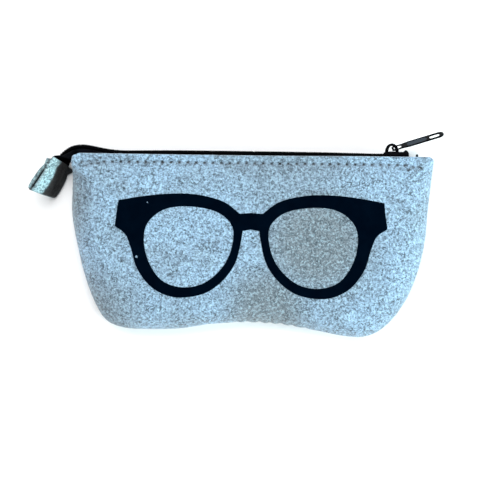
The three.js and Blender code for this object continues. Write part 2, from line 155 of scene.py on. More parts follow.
def catmull_rom(knots, closed=False, steps=20):
    """A centripetal Catmull-Rom curve through the knots, as a dense line of points."""
    knots = np.array(knots, float)
    if closed:
        padded = np.vstack([knots[-1:], knots, knots[:2]])
    else:
        padded = np.vstack([2 * knots[0] - knots[1], knots, 2 * knots[-1] - knots[-2]])
    line = []
    for p0, p1, p2, p3 in zip(padded, padded[1:], padded[2:], padded[3:]):
        d0, d1, d2 = (np.linalg.norm(b - a) ** 0.5 for a, b in ((p0, p1), (p1, p2), (p2, p3)))
        start = ((p1 - p0) / d0 - (p2 - p0) / (d0 + d1) + (p2 - p1) / d1) * d1
        end = ((p2 - p1) / d1 - (p3 - p1) / (d1 + d2) + (p3 - p2) / d2) * d1
        for s in np.arange(steps) / steps:
            line.append(
                (2 * s**3 - 3 * s**2 + 1) * p1 + (s**3 - 2 * s**2 + s) * start
                + (3 * s**2 - 2 * s**3) * p2 + (s**3 - s**2) * end
            )
    if not closed:
        line.append(knots[-1])
    return np.array(line)


def lengths_along(line):
    """How far along the line each of its points lies."""
    return np.concatenate([[0], np.cumsum(np.linalg.norm(np.diff(line, axis=0), axis=1))])


def directions(line):
    along = np.gradient(line, axis=0)
    return along / np.linalg.norm(along, axis=1)[:, None]


def grid_normals(grid):
    """The normal at each point of a surface given as rows of points."""
    normal = np.cross(np.gradient(grid, axis=0), np.gradient(grid, axis=1))
    return normal / np.linalg.norm(normal, axis=2)[:, :, None]


def evenly(line, step, closed=False):
    """The same line with its points a step apart."""
    line = np.array(line, float)
    if closed:
        line = np.vstack([line, line[:1]])
    at = lengths_along(line)
    count = max(2, round(at[-1] / step))
    wanted = np.linspace(0, at[-1], count + 1)
    spaced = np.stack([np.interp(wanted, at, line[:, k]) for k in range(line.shape[1])], axis=1)
    return spaced[:-1] if closed else spaced


def mesh_piece(name, points, faces, finish, smooth_below=50):
    """A mesh object in metres from points in millimetres, with one material."""
    mesh = bpy.data.meshes.new(name)
    mesh.from_pydata((np.array(points, float) * MM).tolist(), [], [list(map(int, f)) for f in faces])
    return finished(name, mesh, finish, smooth_below)


def new_object(name, data):
    made = bpy.data.objects.new(name, data)
    bpy.context.scene.collection.objects.link(made)
    return made


def bmesh_of(points, faces):
    bm = bmesh.new()
    made = [bm.verts.new(p) for p in points]
    for face in faces:
        bm.faces.new([made[i] for i in face])
    return bm


def finished(name, mesh, finish, smooth_below=50):
    """An object with this mesh and finish. Edges that turn by less than smooth_below look round."""
    bm = bmesh.new()
    bm.from_mesh(mesh)
    bmesh.ops.recalc_face_normals(bm, faces=bm.faces)
    bm.to_mesh(mesh)
    bm.free()
    mesh.shade_smooth()
    mesh.set_sharp_from_angle(angle=math.radians(smooth_below))
    mesh.materials.append(finish)
    piece = new_object(name, mesh)
    return piece


def loft(rings, closed_ends=True):
    """Points and faces of a skin through equal rings of points."""
    size = len(rings[0])
    points = [p for ring in rings for p in ring]
    faces = []
    for k in range(len(rings) - 1):
        for i in range(size):
            j = (i + 1) % size
            faces.append((k * size + i, k * size + j, (k + 1) * size + j, (k + 1) * size + i))
    if closed_ends:
        faces.append(range(size))
        faces.append(range(len(points) - size, len(points)))
    return points, faces


def tube(path, radii, sides=6):
    """Points and faces of a round thread along a path; radii is one number or one for each point."""
    path = np.array(path, float)
    radii = np.broadcast_to(radii, len(path))
    along = directions(path)
    up = np.array([0.0, 0.0, 1.0]) if abs(along[0][2]) < 0.9 else np.array([1.0, 0.0, 0.0])
    rings = []
    for point, direction, radius in zip(path, along, radii):
        across = np.cross(direction, up)
        across /= np.linalg.norm(across)
        up = np.cross(across, direction)
        turns = np.arange(sides) * 2 * math.pi / sides
        rings.append(point + radius * (np.outer(np.cos(turns), across) + np.outer(np.sin(turns), up)))
    return loft(rings)


def gathered(parts):
    """One list of points and one of faces from several."""
    points, faces = [], []
    for some_points, some_faces in parts:
        start = len(points)
        points.extend(some_points)
        faces.extend([[start + i for i in face] for face in some_faces])
    return points, faces


def within(points, loops):
    """True for each point that lies inside the loops, by the even-odd rule."""
    odd = np.zeros(len(points), bool)
    x, y = points[:, 0], points[:, 1]
    for loop in loops:
        for (ax, ay), (bx, by) in zip(loop, np.roll(loop, -1, axis=0)):
            if ay == by:
                continue
            crosses = ((ay > y) != (by > y)) & (x < (bx - ax) * (y - ay) / (by - ay) + ax)
            odd ^= crosses
    return odd


def filled(loops, step):
    """A flat mesh inside closed loops, the first its outline and the rest within it."""
    loops = [np.array(loop, float)[:, :2] for loop in loops]
    edge = np.vstack(loops)
    low, high = edge.min(0), edge.max(0)
    rows = np.arange(low[1], high[1], step * 0.87)  # rows of even-sided triangles
    grid = np.array([
        (x + (k % 2) * step / 2, y) for k, y in enumerate(rows) for x in np.arange(low[0], high[0], step)
    ])
    grid = grid[within(grid, loops)]
    gap = np.full(len(grid), 1e9)
    for p in edge:
        gap = np.minimum(gap, np.linalg.norm(grid - p, axis=1))
    grid = grid[gap > step * 0.55]
    held, start = [], 0
    for loop in loops:
        n = len(loop)
        held += [(start + i, start + (i + 1) % n) for i in range(n)]
        start += n
    flat = [Vector(p) for p in np.vstack([edge, grid])]
    points, _, triangles, _, _, _ = delaunay_2d_cdt(flat, held, [], 0, 1e-6)
    points = np.array([tuple(p) for p in points])
    triangles = np.array([t for t in triangles if len(t) == 3])
    middles = points[triangles].mean(axis=1)
    return points, triangles[within(middles, loops)]


# ---------------------------------------------------------------- materials

class Nodes:
    """Short names for building a material's nodes."""

    def __init__(self, name):
        self.material = bpy.data.materials.new(name)
        self.material.use_nodes = True
        self.tree = self.material.node_tree
        self.shader = self.tree.nodes["Principled BSDF"]
        self.place = self.tree.nodes.new("ShaderNodeTexCoord").outputs["Object"]

    def add(self, kind, **inputs):
        node = self.tree.nodes.new(kind)
        for key, value in inputs.items():
            self.put(value, node.inputs[key.replace("_", " ")])
        return node

    def put(self, value, socket):
        if isinstance(value, bpy.types.NodeSocket):
            self.tree.links.new(value, socket)
        else:
            socket.default_value = value

    def set(self, **inputs):
        for key, value in inputs.items():
            self.put(value, self.shader.inputs[key.replace("_", " ")])

    def noise(self, size_mm, detail=2.0, rough=0.5, distortion=0.0, place=None):
        node = self.add(
            "ShaderNodeTexNoise", Vector=place or self.place, Scale=1 / (size_mm * MM), Detail=detail,
            Roughness=rough, Distortion=distortion,
        )
        return node.outputs["Fac"]

    def stretched(self, x, y, z):
        node = self.add("ShaderNodeVectorMath", Vector=self.place)
        node.operation = "MULTIPLY"
        node.inputs[1].default_value = (x, y, z)
        return node.outputs[0]

    def ramp(self, value, *stops):
        node = self.add("ShaderNodeValToRGB", Fac=value)
        bar = node.color_ramp.elements
        while len(bar) < len(stops):
            bar.new(0.5)
        for element, (at, colour) in zip(bar, stops):
            element.position = at
            element.color = (*colour, 1) if hasattr(colour, "__len__") else (colour, colour, colour, 1)
        return node.outputs["Color"]

    def math(self, operation, a, b=0.0):
        node = self.tree.nodes.new("ShaderNodeMath")
        node.operation = operation
        self.put(a, node.inputs[0])
        self.put(b, node.inputs[1])
        return node.outputs[0]

    def blend(self, share, a, b, kind="MIX"):
        node = self.tree.nodes.new("ShaderNodeMix")
        node.data_type = "RGBA"
        node.blend_type = kind
        for value, socket in ((share, node.inputs[0]), (a, node.inputs[6]), (b, node.inputs[7])):
            if isinstance(value, tuple):
                value = (*value, 1)
            self.put(value, socket)
        return node.outputs[2]

    def attribute(self, name):
        node = self.tree.nodes.new("ShaderNodeAttribute")
        node.attribute_name = name
        return node.outputs["Fac"]

    def near(self, centre_mm, low_mm, high_mm):
        """1 close to a point and 0 beyond high_mm from it."""
        node = self.tree.nodes.new("ShaderNodeVectorMath")
        node.operation = "DISTANCE"
        self.put(self.place, node.inputs[0])
        node.inputs[1].default_value = [c * MM for c in centre_mm]
        ranged = self.add(
            "ShaderNodeMapRange", Value=node.outputs["Value"], From_Min=low_mm * MM, From_Max=high_mm * MM,
            To_Min=1, To_Max=0,
        )
        ranged.interpolation_type = "SMOOTHSTEP"
        return ranged.outputs[0]

    def bump(self, height, depth_mm, strength=1.0):
        node = self.add("ShaderNodeBump", Height=height, Distance=depth_mm * MM, Strength=strength)
        self.put(node.outputs["Normal"], self.shader.inputs["Normal"])


# Greyer patches on the felt: each patch's middle, its strength, and the radii between which it fades.
# The one at the left edge is painted shade on the side that rounds away from the light.
# GREYING is what a patch leaves of the felt's red, green and blue.
GREY_AND_SHADE_PATCHES = [
    ((33, 2, 22), 1.0, 12, 44), ((8, -32, 20), 1.0, 8, 34), ((-76, -34, 15), 0.8, 4, 36),
    ((-103, 22, 13), 0.85, 10, 34), ((20, 36, 20), 0.5, 10, 48),
]
GREYING = (0.61, 0.495, 0.41)


def felt_material(name, light, dark, painted_shade, nap, patches=()):
    """Pressed wool: pale and dark fibres matted together, cloudy at the scale of a hand."""
    n = Nodes(name)
    clouds = n.noise(26, detail=3, rough=0.55)
    clusters = n.noise(5, detail=3, rough=0.6)
    speckle = n.noise(0.85, detail=2, rough=0.6)
    hairs = n.noise(2.4, detail=3, rough=0.55, distortion=1.6)
    breaks = n.noise(1.5, detail=1)
    pale_hairs = n.noise(2.0, detail=3, rough=0.6, distortion=2.2)
    greyed = tuple(c * share for c, share in zip(light, GREYING))
    grey = n.math("MULTIPLY", n.ramp(clouds, (0.42, 0.0), (0.72, 1.0)), 0.5)
    for centre, strength, low, high in patches:
        grey = n.math("MAXIMUM", grey, n.math("MULTIPLY", n.near(centre, low, high), strength))
    base = n.blend(grey, light, greyed)
    # More of the dark wool lies in some places than in others, so its specks and strokes come in clusters.
    thick = n.ramp(clusters, (0.3, 1.0), (0.62, 0.35))
    base = n.blend(n.math("MULTIPLY", thick, 0.12), base, dark)
    base = n.blend(n.ramp(speckle, (0.34, 0.7), (0.6, 0.0)), base, dark)
    specks = n.math("MULTIPLY", n.ramp(n.noise(1.1, detail=1), (0.36, 1.0), (0.44, 0.0)), thick)
    base = n.blend(specks, base, dark)
    line = n.math("ABSOLUTE", n.math("SUBTRACT", hairs, 0.5))
    dark_lengths = n.ramp(breaks, (0.42, 0.0), (0.52, 1.0))
    strokes = n.math("MULTIPLY", n.ramp(line, (0.02, 1.0), (0.075, 0.0)), dark_lengths)
    base = n.blend(n.math("MULTIPLY", strokes, thick), base, dark)
    pale_line = n.math("ABSOLUTE", n.math("SUBTRACT", pale_hairs, 0.48))
    pale_lengths = n.ramp(breaks, (0.4, 1.0), (0.52, 0.0))
    pale = n.math("MULTIPLY", n.ramp(pale_line, (0.01, 0.4), (0.05, 0.0)), pale_lengths)
    base = n.blend(pale, base, tuple(min(0.95, c * 1.5) for c in light))
    # Painted shade: where the point attribute read below is high, the colour darkens towards a mottled shade
    # colour, in the needle holes and on the tab.
    faint = tuple(0.25 * c for c in painted_shade)
    heavy = tuple(1.75 * c for c in painted_shade)
    painted_shade_colour = n.ramp(n.noise(5, detail=3), (0.35, faint), (0.65, heavy))
    base = n.blend(n.attribute("painted_shade"), base, painted_shade_colour)
    height = n.math("ADD", n.math("MULTIPLY", speckle, 0.7), n.math("MULTIPLY", line, -2.5))
    n.bump(height, 0.35)
    n.set(Base_Color=base, Roughness=0.96, Specular_IOR_Level=0.1, Sheen_Weight=nap, Sheen_Roughness=0.55)
    return n.material


def print_material():
    """A matt film pressed on the felt, which shows through as a faint grain."""
    n = Nodes("print_film")
    grain = n.noise(0.9, detail=3, rough=0.6)
    scuffs = n.noise(7, detail=4, rough=0.6)
    colour = n.ramp(scuffs, (0.35, (0.0001, 0.0014, 0.0042)), (0.75, (0.0003, 0.0024, 0.0065)))
    n.bump(grain, 0.12, 0.6)
    n.set(Base_Color=colour, Roughness=n.ramp(grain, (0.3, 0.5), (0.7, 0.66)), Specular_IOR_Level=0.0)
    return n.material


def tape_material():
    """Black polyester tape, woven with a fine slanting rib."""
    n = Nodes("zip_tape")
    rib_mm = 2.2
    wave = n.add("ShaderNodeTexWave", Vector=n.place, Scale=1 / (rib_mm * MM) / 6.28, Distortion=0.4)
    wave.bands_direction = "DIAGONAL"
    yarn = n.noise(0.35, detail=2)
    height = n.math("ADD", wave.outputs["Fac"], n.math("MULTIPLY", yarn, 0.5))
    colour = n.ramp(height, (0.2, (0.0008, 0.001, 0.0015)), (0.8, (0.003, 0.0036, 0.0052)))
    n.bump(height, 0.08)
    n.set(Base_Color=colour, Roughness=0.85, Specular_IOR_Level=0.01)
    return n.material


def coil_material():
    """Black nylon wire with a scuffed shine."""
    n = Nodes("zip_coil")
    scratch = n.noise(0.6, detail=3)
    n.set(
        Base_Color=n.ramp(scratch, (0.3, (0.0006, 0.0007, 0.001)), (0.7, (0.0018, 0.002, 0.0028))),
        Roughness=n.ramp(scratch, (0.3, 0.42), (0.7, 0.6)), Specular_IOR_Level=0.01,
    )
    n.bump(scratch, 0.02)
    return n.material


# Painted reflection: the grey painted on the pull's sunk faces.
SUNK_FACE_PAINTED_REFLECTION = (0.03, 0.04, 0.052)


def enamel_material(name, colour, worn, rough, gloss):
    """Baked enamel with a slight orange peel and rubbed thin along its edges; faces a piece marks as sunk get
    a greyer colour, a painted reflection.
    """
    n = Nodes(name)
    peel = n.noise(0.7, detail=2)
    rubs = n.noise(3.1, detail=5, rough=0.7)
    edge = n.tree.nodes.new("ShaderNodeNewGeometry").outputs["Pointiness"]
    rubbed = n.ramp(rubs, (0.45, 0.0), (0.6, 0.6))
    worn_edge = n.math("MULTIPLY", n.ramp(edge, (0.53, 0.0), (0.6, 1.0)), rubbed)
    n.set(
        Base_Color=n.blend(n.attribute("painted_reflection"), n.blend(worn_edge, colour, worn), SUNK_FACE_PAINTED_REFLECTION),
        Roughness=n.ramp(rubs, (0.3, rough), (0.75, rough + 0.16)), Specular_IOR_Level=gloss,
        Coat_Weight=gloss / 4, Coat_Roughness=0.15,
    )
    n.bump(peel, 0.02, 0.5)
    return n.material


def steel_material():
    """Spring steel, brushed along its length."""
    n = Nodes("spring_steel")
    brushed = n.noise(0.5, detail=3, place=n.stretched(0.15, 1, 1))
    n.set(
        Base_Color=n.ramp(brushed, (0.3, (0.05, 0.052, 0.056)), (0.7, (0.13, 0.135, 0.14))), Metallic=1.0,
        Roughness=n.ramp(brushed, (0.3, 0.28), (0.7, 0.45)),
    )
    n.bump(brushed, 0.01)
    return n.material


def thread_material():
    """Two-ply sewing thread, by its twist."""
    n = Nodes("sewing_thread")
    twist = n.noise(0.35, detail=2, place=n.stretched(1, 0.4, 0.4))
    n.set(
        Base_Color=n.ramp(twist, (0.3, (0.15, 0.23, 0.3)), (0.7, (0.26, 0.36, 0.46))), Roughness=0.8,
        Sheen_Weight=0.2, Specular_IOR_Level=0.3,
    )
    n.bump(twist, 0.08)
    return n.material


def floor_material():
    n = Nodes("studio_floor")
    paper = n.ramp(n.noise(60, detail=2), (0.3, 0.93), (0.7, 0.95))
    n.set(Base_Color=paper, Roughness=0.9, Specular_IOR_Level=0.1)
    return n.material


FELT_LIGHT = (0.34, 0.53, 0.73)
FELT_DARK = (0.042, 0.062, 0.077)
# The tab's felt is much paler than the panels': painted light on the tab's lit face.
TAB_PALE_PAINTED_LIGHT = (0.52, 0.82, 0.9)
HOLE_SHADE = (0.028, 0.034, 0.04)
# The colour of the shade painted on the tab.
TAB_SHADE_COLOUR = (0.016, 0.014, 0.0135)
felt = felt_material("felt", FELT_LIGHT, FELT_DARK, HOLE_SHADE, 0.3, GREY_AND_SHADE_PATCHES)
# The tab's own copy of the felt: paler for painted light, and darkened by painted shade.
felt_tab = felt_material("felt_tab", TAB_PALE_PAINTED_LIGHT, FELT_DARK, TAB_SHADE_COLOUR, 0.04)
film = print_material()
tape_weave = tape_material()
coil_nylon = coil_material()
slider_enamel = enamel_material("slider_enamel", (0.001, 0.0012, 0.002), (0.014, 0.015, 0.018), 0.3, 0.01)
pull_enamel = enamel_material("pull_enamel", (0.0012, 0.0015, 0.0025), (0.02, 0.022, 0.026), 0.26, 0.02)
steel = steel_material()
sewing_thread = thread_material()


# ---------------------------------------------------------------- camera, light and floor

def add_camera():
    """Straight down on the front panel and turned a little, with room round the pouch."""
    view_width = 251.1  # millimetres across the picture at the front panel
    distance = 2500
    sensor = 36
    camera = new_object("camera", bpy.data.cameras.new("camera"))
    camera.data.sensor_width = sensor
    camera.data.lens = sensor * distance / view_width
    camera.data.clip_end = 10
    camera.location = (-4.1 * MM, -0.05 * MM, (SEAM_Z + FRONT_RISE + distance) * MM)
    camera.rotation_euler = (0, 0, math.radians(0.68))
    bpy.context.scene.camera = camera


def add_light(name, place, size, power, colour):
    """A round lamp of this size, aimed at the model's origin. Places and sizes are in metres."""
    light = bpy.data.lights.new(name, "AREA")
    light.shape = "DISK"
    light.size = size
    light.energy = power
    light.color = colour
    lamp = new_object(name, light)
    lamp.location = place
    lamp.rotation_euler = (-Vector(place)).to_track_quat("-Z", "Y").to_euler()


def add_studio():
    """Three lamps, a white sky and a white floor."""
    add_light("key", (1.05, -0.3, 0.5), 0.5, 20, (0.82, 0.98, 1.0))
    add_light("top", (-0.25, 0.55, 1.3), 0.9, 16.5, (1.0, 1.0, 1.0))
    add_light("left_fill", (-0.8, -0.9, 0.4), 0.6, 4, (0.93, 0.98, 1.0))
    world = bpy.data.worlds.new("studio")
    world.use_nodes = True
    sky = world.node_tree.nodes["Background"].inputs
    sky["Color"].default_value = (1.0, 1.0, 1.0, 1)
    sky["Strength"].default_value = 0.55
    bpy.context.scene.world = world
    bpy.context.scene.view_settings.view_transform = "Standard"
    reach = 2.5  # metres from the middle of the floor to its edges
    corners = [(-reach, -reach, 0), (reach, -reach, 0), (reach, reach, 0), (-reach, reach, 0)]
    mesh = bpy.data.meshes.new("floor")
    mesh.from_pydata(corners, [], [(0, 1, 2, 3)])
    mesh.materials.append(floor_material())
    new_object("floor", mesh)


add_camera()
add_studio()


# ---------------------------------------------------------------- the felt panels

def freedom(edge):
    """1 where the felt's edge is free, at the mouth and at the corner with the tail; 0 along the seam."""
    at_left = edge[:, 0] < 0
    sewn_to, free_from = (np.where(at_left, a, b) for a, b in zip(LEFT_SEAM_TOP, RIGHT_SEAM_TOP))
    return smooth(edge[:, 1], sewn_to, free_from)


def panel_ring(edge, inset, rise):
    """Points of a panel's outside at one distance in from its outline, with z as height above the seam."""
    share = inset / SHOULDER
    free = freedom(edge)
    free_half = MOUTH_HALF + CORNER_FLARE * smooth(-edge[:, 0], MOUTH_END, HALF_LENGTH)
    rim = mix(SEAM_GAP, free_half + FELT, free)
    turned = math.sqrt(1 - (1 - share) ** 2)
    level = (1 - math.cos(math.pi * share)) / 2
    height = mix(rim, rise, mix(turned, level, free))
    tuck = SEAM_TUCK * (1 - free) * np.clip(1 - (height - rim) / TUCK_HEIGHT, 0, 1) ** 2
    swollen = SIDE_SWELL * (1 - share) * smooth(edge[:, 1], MOUTH_Y + 2, MOUTH_Y - 9)
    drawn_in = inset + tuck - swollen
    x = edge[:, 0] * (1 - drawn_in / HALF_LENGTH)
    y = edge[:, 1] * (1 - drawn_in / MOUTH_Y)
    return np.stack([x, y, height], axis=1)


# The panel's rings lie closest together at the edge and along the row of stitches.
BAND_INSETS = [
    0, 0.1, 0.3, 0.6, 1, 1.5, 2, 2.5, 3, 3.4, 3.8, 4.2, 4.6, 5, 5.4, 6, 6.8, 7.8, 9, 10.2, 11.5, 12.8,
    SHOULDER,
]
# Where the bottom seam gathers the felt, along X, and how deep each pucker is.
PUCKERS = [(-9, 0.5), (-3.5, 0.8), (3, 1.0), (8.5, 0.8), (14, 1.0), (20, 0.7), (27, 0.5)]


def stitch_holes():
    """Where the needle went through the mouth band, along X."""
    return np.arange(STITCH_FROM, STITCH_TO, STITCH_PITCH)


# The needle holes of the two bar tacks: along X, and down from the mouth.
BAR_HOLES = [
    (-88.3, 4.6), (-86.6, 6.1), (-84.6, 4.2), (-83.6, 5.2), (-80.6, 3.8), (-79.9, 5.0), (-79, 2.3),
    (77.5, 4.5), (79.6, 6.6), (81.4, 5.4), (83.2, 7.4), (85.4, 5.6),
]


def needle_marks(side):
    """The x and y of each needle hole in one panel."""
    marks = [(x, MOUTH_Y - STITCH_INSET) for x in stitch_holes()]
    if side > 0:
        marks += [(x, MOUTH_Y - down) for x, down in BAR_HOLES]
    return np.array(marks)


def nearest(points, marks):
    """How far each point is from the nearest needle hole. The thread pulls the holes wide along the row."""
    gap = np.full(len(points), 1e9)
    for mark in marks:
        gap = np.minimum(gap, np.linalg.norm((points[:, :2] - mark) * (0.78, 1.15), axis=1))
    return gap


def fullness(points, rise):
    """How far what is in the pouch lifts its front, and how unevenly the soft felt lies over it."""
    x, y = points[:, 0], points[:, 1]
    crown = 0.9 * np.clip(1 - (x / 84) ** 2, 0, 1) * np.clip(1 - (y / 40) ** 2, 0, 1)
    slack = np.array([
        0.9 * noise.noise(Vector((a / 31, b / 24, 1))) + 0.35 * noise.noise(Vector((a / 11, b / 10, 4)))
        for a, b in zip(x, y)
    ])
    return smooth(points[:, 2], 2, rise) * (crown + slack)


def puckers(x, y):
    """How deep the bottom seam's gathers are: each fades out upwards and leans a little to the right."""
    depth_here = np.zeros(len(x))
    for at, depth in PUCKERS:
        near_seam = np.clip(1 - (y - BOTTOM_Y - 5) / (9 + 6 * depth), 0, 1) ** 1.5 * (y < 0)
        leaning = at + 0.12 * (y - BOTTOM_Y)
        depth_here += depth * 0.75 * bell(x - leaning, 1.5) * near_seam
    return depth_here


def swell(points, rise, side):
    """How far the soft felt stands proud of its pattern, in millimetres along its own normal."""
    x, y = points[:, 0], points[:, 1]
    matted = np.array([
        0.10 * noise.noise(Vector(p / 1.5)) + 0.07 * noise.noise(Vector(p / 0.8 + 9)) for p in points
    ])
    row_dent = 0.45 * bell(y - MOUTH_Y + STITCH_INSET, 0.9) * (abs(x) < 88)
    hole_dents = 0.75 * bell(nearest(points, needle_marks(side)), 0.6)
    raised = matted - puckers(x, y) - row_dent - hole_dents
    return raised + fullness(points, rise) if side > 0 else raised


def panel_sheet(rise):
    """A bmesh of a panel's pattern surface, open along its outline."""
    sides = evenly(catmull_rom(OUTLINE), 1.1)
    mouth = evenly(catmull_rom(MOUTH_LINE), 0.6)
    edge = np.vstack([sides, mouth[1:-1]])
    rings = [panel_ring(edge, inset, rise) for inset in BAND_INSETS]
    points, faces = loft(rings, closed_ends=False)
    flat, triangles = filled([rings[-1]], 1.25)
    middle = [(x, y, rise) for x, y in flat]
    bm = bmesh_of(*gathered([(points, faces), (middle, triangles)]))
    bmesh.ops.remove_doubles(bm, verts=bm.verts, dist=0.02)
    bmesh.ops.recalc_face_normals(bm, faces=bm.faces)
    bm.normal_update()
    bm.verts.index_update()
    return bm


def rim_directions(sheet, normal):
    """The way out of the sheet at each point of its rim."""
    outward = {}
    for v in sheet.verts:
        if v.is_boundary:
            away = sum(((v.co - f.calc_center_median()) for f in v.link_faces), Vector())
            away -= away.project(Vector(normal[v.index]))
            outward[v.index] = away.normalized()
    return outward


def felt_panel(rise, side):
    """Points and faces of one whole panel of even felt, closed, and its outside as a BVH tree."""
    sheet = panel_sheet(rise)
    at = np.array([v.co for v in sheet.verts])
    normal = np.array([v.normal for v in sheet.verts])
    if normal[:, 2].mean() < 0:
        normal = -normal
    outer = at + normal * swell(at, rise, side)[:, None]
    inner = at - normal * FELT
    rim_edges = [[v.index for v in e.verts] for e in sheet.edges if e.is_boundary]
    outward = rim_directions(sheet, normal)
    faces = [[v.index for v in f.verts] for f in sheet.faces]
    sheet.free()
    count = len(at)
    rim = sorted(outward)
    rim_place = {k: 2 * count + i for i, k in enumerate(rim)}
    rounding = 0.32  # how far the middle of the cut edge stands out
    bulge = [(outer[k] + inner[k]) / 2 + rounding * np.array(outward[k]) for k in rim]
    points = np.vstack([outer, inner, bulge])
    points[:, 2] = SEAM_Z + side * points[:, 2]
    if side < 0:
        points[:, 2] = np.maximum(points[:, 2], back_low[2])
    shell = faces + [[count + i for i in reversed(f)] for f in faces]
    for a, b in rim_edges:
        mid_a, mid_b = rim_place[a], rim_place[b]
        shell += [[a, b, mid_b, mid_a], [mid_a, mid_b, count + b, count + a]]
    surface = BVHTree.FromPolygons([tuple(p) for p in points[:count]], faces)
    return points, shell, surface


def halves(name, points, faces, finish, marks=None):
    """The piece cut across at x = 0 into a left and a right part, both closed."""
    whole = bmesh_of(points, faces)
    bmesh.ops.recalc_face_normals(whole, faces=whole.faces)
    pieces = []
    for k, cut_away in enumerate((1, -1)):
        part = whole.copy()
        cut = bmesh.ops.bisect_plane(
            part, geom=[*part.verts, *part.edges, *part.faces], dist=1e-5, plane_co=(0, 0, 0),
            plane_no=(cut_away, 0, 0), clear_outer=True,
        )
        edges = [e for e in cut["geom_cut"] if isinstance(e, bmesh.types.BMEdge)]
        bmesh.ops.triangle_fill(part, use_beauty=True, use_dissolve=False, edges=edges)
        bmesh.ops.scale(part, vec=(MM, MM, MM), verts=part.verts)
        mesh = bpy.data.meshes.new(f"{name}_{k}")
        part.to_mesh(mesh)
        part.free()
        piece = finished(mesh.name, mesh, finish, ROUND_FELT)
        if marks is not None:
            paint_hole_shade(piece, marks)
        pieces.append(piece)
    whole.free()
    return pieces


def paint_hole_shade(piece, marks):
    """Paints shade on the felt in and around its needle holes, standing in for the shade and thread in the
    real one's holes.
    """
    at = np.array([v.co for v in piece.data.vertices]) / MM
    shade_felt(piece, np.minimum(1, 1.7 * bell(nearest(at, marks), 0.66)))


def shade_felt(piece, painted_shade):
    """Stores how much shade is painted at each point, from 0 to 1, for the felt's material."""
    layer = piece.data.attributes.new("painted_shade", "FLOAT", "POINT")
    layer.data.foreach_set("value", painted_shade.astype(np.float32))


def bends_with_front(piece):
    """Bakes the piece's placement into its mesh."""
    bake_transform(piece)


def opens_with_front(left, right):
    """Bakes the placement of both halves into their meshes."""
    bends_with_front(left)
    bends_with_front(right)


front_points, front_faces, front_surface = felt_panel(FRONT_RISE, 1)
felt_left, felt_right = halves("front_felt", front_points, front_faces, felt, marks=needle_marks(1))
back_points, back_faces, back_surface = felt_panel(BACK_RISE, -1)
back_felt = mesh_piece("back_felt", back_points, back_faces, felt, ROUND_FELT)
paint_hole_shade(back_felt, needle_marks(-1))


def on_front(x, y):
    """The height of the front felt over one point."""
    hit = front_surface.ray_cast(Vector((x, y, 100)), Vector((0, 0, -1)))[0]
    return hit.z if hit else SEAM_Z + FRONT_RISE


def on_back(x, y):
    """The height of the back felt's outside at one point."""
    hit = back_surface.ray_cast(Vector((x, y, -100)), Vector((0, 0, 1)))[0]
    return hit.z if hit else 0.0


# ---------------------------------------------------------------- the printed glasses

# The right half of the printed glasses, from the bridge out along the brow and back along the rim.
PRINT_MIDDLE = -1.1
BROW = [(5.8, 15.9), (13.8, 21.8), (27.4, 25.4), (41.5, 25.8), (55.5, 24.4), (68.1, 22.2)]
RIM = [
    (69.9, 8.9), (64.6, 5), (61.9, -1), (58.2, -12.6), (51, -22), (42, -26.6), (33.4, -27.3), (22.4, -24.6),
    (13.6, -17.8), (7.9, -9.3), (5.2, 1), (4.3, 7.1),
]
BRIDGE_TOP = 16.4
BRIDGE_UNDER = 7.9
LENS = [
    (35, 19.4), (46, 17), (53.2, 10.4), (54.9, 2.7), (52.4, -9), (45.3, -18.8), (35, -22.1), (24, -19.9),
    (14, -11), (9.6, -0.5), (9.7, 9.4), (17, 16.4),
]
CHIPS = [((-53.3, 21.3), 0.4), ((-58.6, -6.6), 0.8)]  # where the film has flaked off, and how widely
FILM = 0.14


def print_loops():
    """The film's outline, then its two lenses and its chips."""
    half = np.vstack([evenly(catmull_rom(BROW), 1), evenly(catmull_rom(RIM), 1)])
    right = np.vstack([[(0.0, BRIDGE_TOP)], half, [(0.0, BRIDGE_UNDER)]])
    left = (right * (-1, 1))[::-1][1:-1]
    loops = [np.vstack([right, left])]
    lens = evenly(catmull_rom(LENS, closed=True), 1, closed=True)
    loops += [lens, lens * (-1, 1)]
    for (x, y), size in CHIPS:
        turns = np.arange(7) * 2 * math.pi / 7
        ragged = size * np.array([1, 0.7, 1.1, 0.6, 1, 0.8, 1.2])
        loops.append(np.stack([x + ragged * np.cos(turns), y + ragged * np.sin(turns)], axis=1))
    for loop in loops:
        loop[:, 0] += PRINT_MIDDLE
    return loops


def glasses_print():
    """A closed sheet of film that follows the felt under it."""
    flat, triangles = filled(print_loops(), 1.1)
    clear = 0.02  # the film's underside lies this far over the felt
    low = [(x, y, on_front(x, y) + clear) for x, y in flat]
    high = [(x, y, z + FILM) for x, y, z in low]
    count = len(flat)
    faces = [list(t) for t in triangles] + [[count + i for i in t[::-1]] for t in triangles]
    times_used = {}
    for a, b, c in triangles:
        for edge in ((a, b), (b, c), (c, a)):
            edge = tuple(sorted(edge))
            times_used[edge] = times_used.get(edge, 0) + 1
    faces += [[a, b, count + b, count + a] for (a, b), times in times_used.items() if times == 1]
    left, right = halves("glasses_print", low + high, faces, film)
    for piece in (left, right):
        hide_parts("glasses_print")
    opens_with_front(left, right)


glasses_print()
for piece in (felt_left, felt_right):
    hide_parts("front_panel")
opens_with_front(felt_left, felt_right)
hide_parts("back_panel")
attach(back_felt, "pouch")


# ---------------------------------------------------------------- the zip

